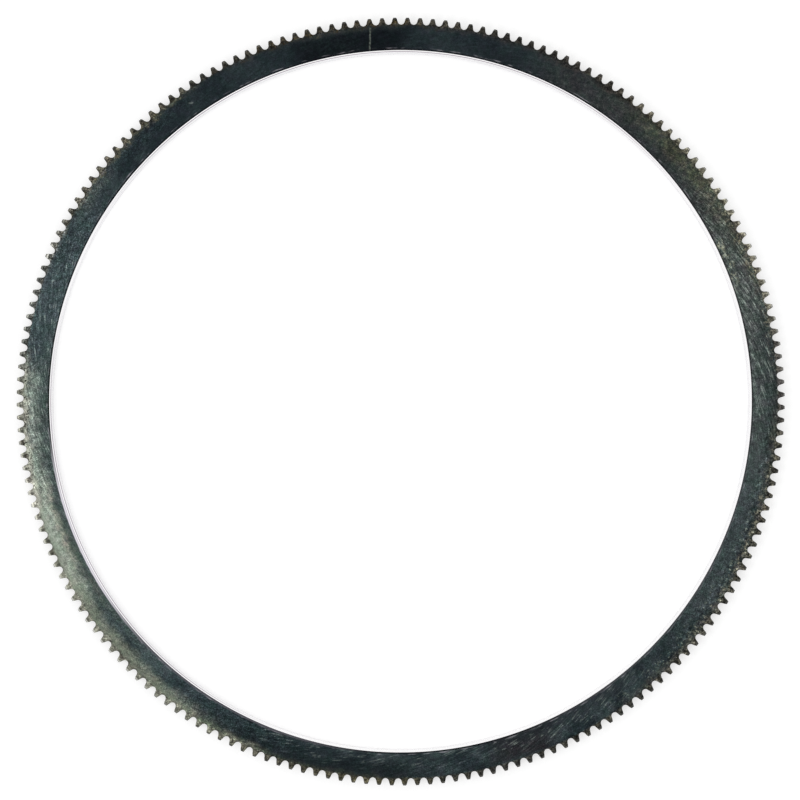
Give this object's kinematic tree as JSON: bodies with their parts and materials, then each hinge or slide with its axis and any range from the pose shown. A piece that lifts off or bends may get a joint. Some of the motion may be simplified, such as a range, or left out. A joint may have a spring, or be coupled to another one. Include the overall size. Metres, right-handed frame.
{
  "type": "ring gear",
  "caption": "Thin steel ring gear with short stub teeth around the outside and a plain chamfered bore, to be shrunk onto a flywheel.",
  "frame": {"origin": "centre of the bore, in the plane of the seat face that the ring lies on", "axes": "+Z along the gear's axis, from the seat face to the face where the pinion enters; a tooth stands on each of +X, +Y, -X and -Y"},
  "size_m": [0.4014, 0.4014, 0.0095],
  "materials": {
    "blackened_steel": "oil-blackened steel with a teal cast, brushed and mottled, brown heat tint at the teeth, bore left bright from machining"
  },
  "bodies": {
    "root": {"ring_gear": "blackened_steel"}
  },
  "joints": []
}
